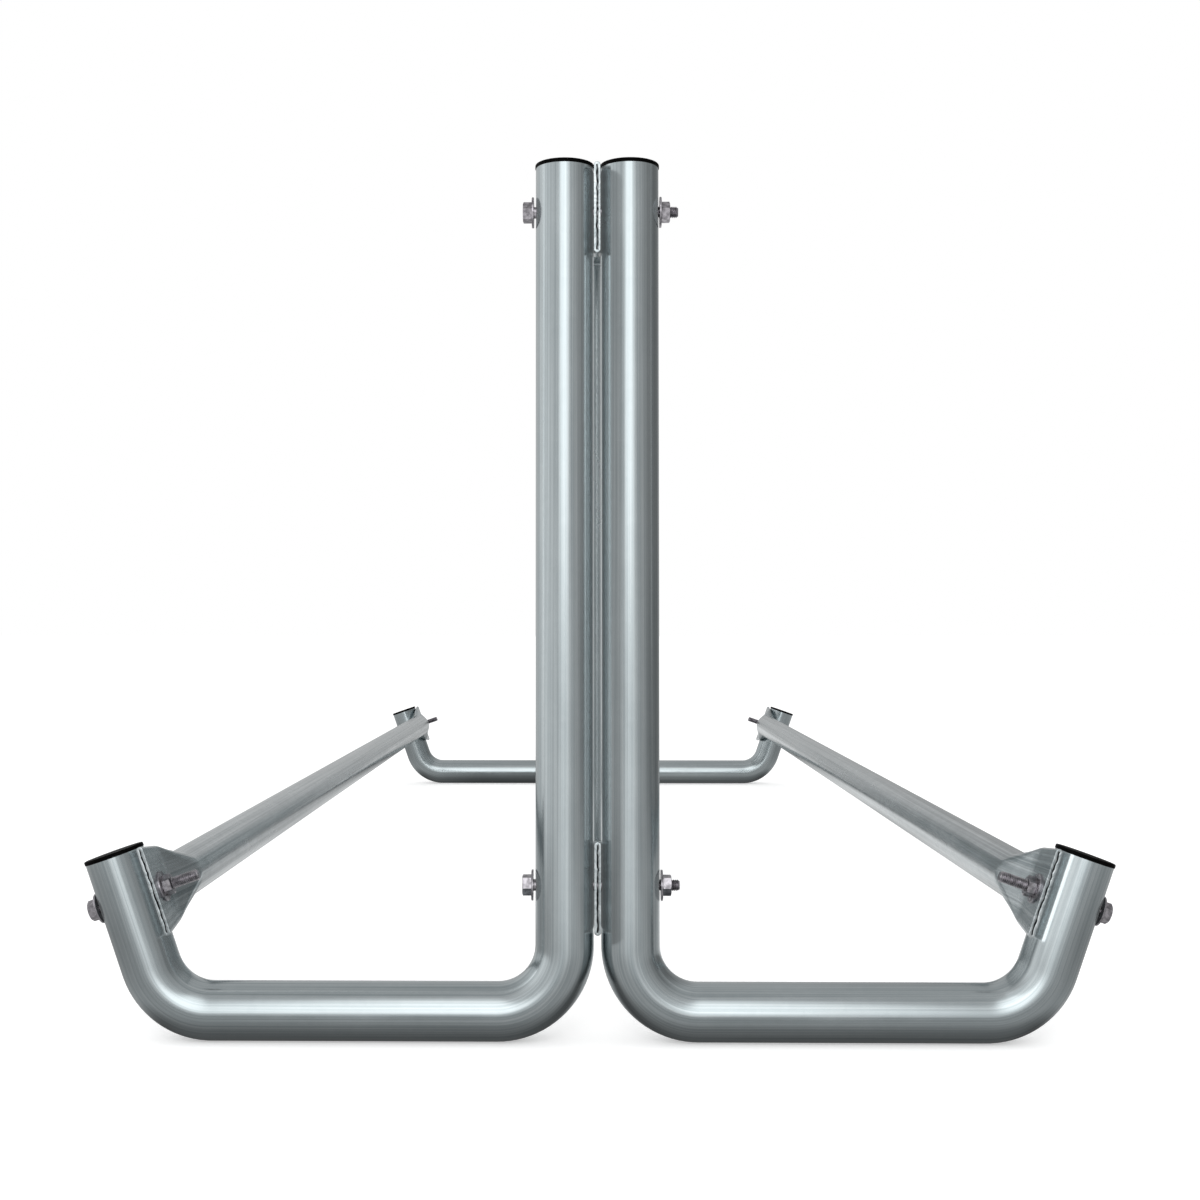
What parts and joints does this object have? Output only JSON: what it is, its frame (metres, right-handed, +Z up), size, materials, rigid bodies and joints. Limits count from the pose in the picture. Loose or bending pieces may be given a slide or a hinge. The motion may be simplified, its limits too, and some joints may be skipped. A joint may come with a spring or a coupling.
{
  "type": "bike rack",
  "caption": "Free-standing double-sided grid rack for bicycles, bent and flattened galvanised pipe bolted together, wheels stand between upright bars.",
  "frame": {"origin": "on the ground, in the middle of the rack", "axes": "+X across the rack to the right as seen from the front frame, +Y along the rack from the front frame to the rear frame, +Z up"},
  "size_m": [0.8478, 2.1134, 0.7259],
  "materials": {
    "galvanised_steel": "hot-dip galvanised, satin with a faint spangle",
    "zinc_plated_steel": "zinc plated, dull",
    "black_plastic": "moulded polyethylene, matte black"
  },
  "bodies": {
    "root": {"front_left_leg": "galvanised_steel", "front_right_leg": "galvanised_steel", "rear_left_leg": "galvanised_steel", "rear_right_leg": "galvanised_steel", "top_grid_rail": "galvanised_steel", "bottom_grid_rail": "galvanised_steel", "left_wheel_rail": "galvanised_steel", "right_wheel_rail": "galvanised_steel", "grid_bar_01": "galvanised_steel", "grid_bar_02": "galvanised_steel", "grid_bar_03": "galvanised_steel", "grid_bar_04": "galvanised_steel", "grid_bar_05": "galvanised_steel", "grid_bar_06": "galvanised_steel", "grid_bar_07": "galvanised_steel", "grid_bar_08": "galvanised_steel", "grid_bar_09": "galvanised_steel", "grid_bar_10": "galvanised_steel", "grid_bar_11": "galvanised_steel", "grid_bar_12": "galvanised_steel", "grid_bar_13": "galvanised_steel", "grid_bar_14": "galvanised_steel", "grid_bar_15": "galvanised_steel", "grid_bar_16": "galvanised_steel", "grid_bar_17": "galvanised_steel", "grid_bar_18": "galvanised_steel", "grid_bar_19": "galvanised_steel", "top_weld_beads": "galvanised_steel", "bottom_weld_beads": "galvanised_steel", "front_left_post_cap": "black_plastic", "front_right_post_cap": "black_plastic", "rear_left_post_cap": "black_plastic", "rear_right_post_cap": "black_plastic", "front_left_outer_cap": "black_plastic", "front_right_outer_cap": "black_plastic", "rear_left_outer_cap": "black_plastic", "rear_right_outer_cap": "black_plastic", "post_bolts": "zinc_plated_steel", "post_nuts": "zinc_plated_steel", "post_washers": "zinc_plated_steel", "rail_bolts": "zinc_plated_steel", "rail_nuts": "zinc_plated_steel", "rail_washers": "zinc_plated_steel"}
  },
  "joints": []
}
